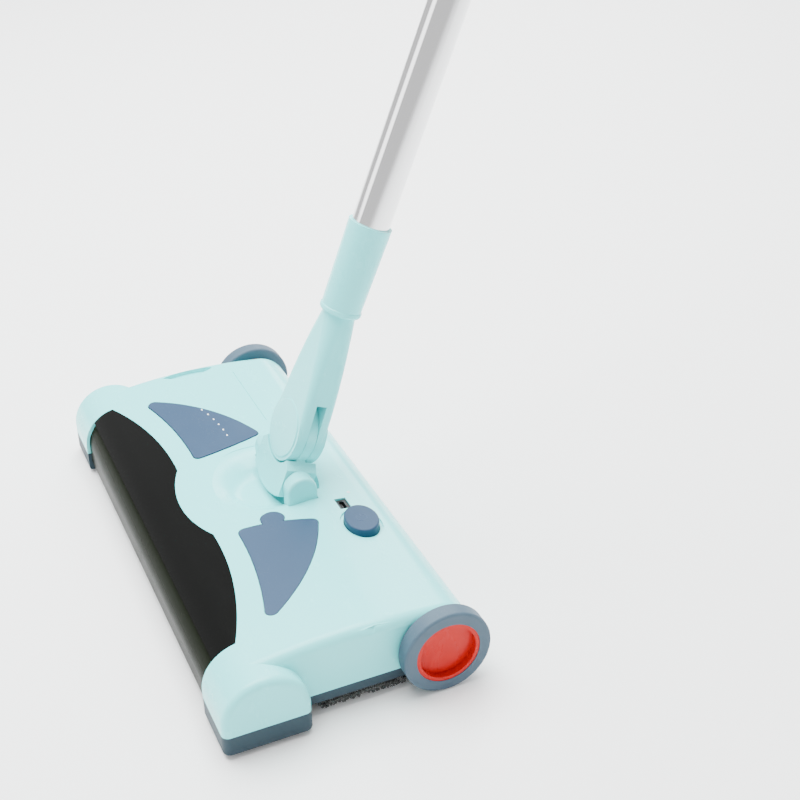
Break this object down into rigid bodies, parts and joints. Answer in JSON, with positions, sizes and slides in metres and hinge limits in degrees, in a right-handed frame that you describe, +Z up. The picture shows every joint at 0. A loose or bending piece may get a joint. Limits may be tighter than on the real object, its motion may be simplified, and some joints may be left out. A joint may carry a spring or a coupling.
{
  "type": "carpet sweeper",
  "caption": "Cordless carpet sweeper with a driven brush roller, a flat mop pad behind it, rear wheels, a side dust drawer and a tipping, rolling telescopic handle.",
  "frame": {"origin": "on the floor, on the mop pad's underside, on the centre plane of the head", "axes": "+X across the head towards the belt side, -Y towards the brush, +Z up"},
  "size_m": [0.32, 0.3916, 0.7682],
  "materials": {
    "shell": "gloss",
    "slate": "satin",
    "window": "gloss",
    "guard": "smoked gloss",
    "light": "translucent",
    "black": "matte",
    "tray": "matte",
    "steel": "brushed",
    "board": "satin",
    "belt": "matte",
    "bristle": "matte",
    "hook": "matte",
    "pad": "looped pile",
    "tyre": "satin",
    "hub": "gloss",
    "chrome": "polished",
    "inner": "polished",
    "grip": "satin"
  },
  "bodies": {
    "head": {"upper_shell": "shell", "swivel_yoke": "shell", "base_tray": "slate", "status_panel": "slate", "brush_window": "window", "front_guard": "guard", "status_lights": "light", "power_led": "light", "charge_socket": "black", "power_switch": "black", "motor_clamp": "black", "roller_bush_left": "black", "roller_bush_right": "black", "mop_plate": "black", "lower_pivot_pin": "steel", "axle_left": "steel", "axle_right": "steel", "base_screws": "steel", "drive_motor": "steel", "battery_pack": "steel", "circuit_board": "board", "drive_belt": "belt", "hook_strips": "hook", "mop_pad": "pad"},
    "knuckle": {"knuckle": "shell"},
    "handle": {"neck_fork": "shell", "upper_pivot_pin": "steel", "boss_cap_front": "shell", "boss_cap_rear": "shell", "collar": "shell", "lower_tube": "chrome", "lock_sleeve": "grip"},
    "upper_handle": {"upper_tube": "inner", "tube_bush": "black", "grip": "grip", "hang_cap": "grip"},
    "wheel_left": {"tyre_left": "tyre", "hub_left": "hub"},
    "wheel_right": {"tyre_right": "tyre", "hub_right": "hub"},
    "brush": {"brush_core": "black", "brush_bristles": "bristle", "brush_shaft": "steel", "brush_pulley": "black"},
    "motor_rotor": {"motor_pulley": "black", "motor_armature": "steel"},
    "glide_left": {"glide_left": "black"},
    "glide_right": {"glide_right": "black"},
    "button": {"power_button": "slate"},
    "drawer": {"dust_drawer": "tray"},
    "cover": {"battery_cover": "slate"}
  },
  "joints": [
    {"name": "handle_tip", "type": "hinge", "parent": "head", "child": "knuckle", "pos_m": [0, 0.0178, 0.054], "axis": [1, 0, 0], "range_deg": [-40, 22.4]},
    {"name": "handle_roll", "type": "hinge", "parent": "knuckle", "child": "handle", "pos_m": [0, 0.02756, 0.07767], "axis": [0, -0.9245, 0.3811], "range_deg": [-45, 45]},
    {"name": "tube_slide", "type": "slide", "parent": "handle", "child": "upper_handle", "axis": [0, 0.3811, 0.9245], "range_m": [0, 0.285]},
    {"name": "wheel_left_spin", "type": "hinge", "parent": "head", "child": "wheel_left", "pos_m": [0, 0.048, 0.025], "axis": [1, 0, 0], "continuous": true},
    {"name": "wheel_right_spin", "type": "hinge", "parent": "head", "child": "wheel_right", "pos_m": [0, 0.048, 0.025], "axis": [1, 0, 0], "continuous": true},
    {"name": "brush_spin", "type": "hinge", "parent": "head", "child": "brush", "pos_m": [0, -0.052, 0.02], "axis": [1, 0, 0], "continuous": true},
    {"name": "motor_spin", "type": "hinge", "parent": "head", "child": "motor_rotor", "pos_m": [0, 0.042, 0.027], "axis": [1, 0, 0], "continuous": true},
    {"name": "glide_left_spin", "type": "hinge", "parent": "head", "child": "glide_left", "pos_m": [0, -0.048, 0.0063], "axis": [1, 0, 0], "continuous": true},
    {"name": "glide_right_spin", "type": "hinge", "parent": "head", "child": "glide_right", "pos_m": [0, -0.048, 0.0063], "axis": [1, 0, 0], "continuous": true},
    {"name": "button_press", "type": "slide", "parent": "head", "child": "button", "axis": [0, 0, -1], "range_m": [0, 0.0012], "stiffness_N_per_m": 900, "springref_m": -0.0008},
    {"name": "drawer_slide", "type": "slide", "parent": "head", "child": "drawer", "axis": [-1, 0, 0], "range_m": [0, 0.2]},
    {"name": "cover_lift", "type": "slide", "parent": "head", "child": "cover", "axis": [0, 0, 1], "range_m": [0, 0.02]}
  ],
  "couplings": [
    {"joint": "motor_spin", "follows": "brush_spin", "ratio": 1.6364}
  ]
}
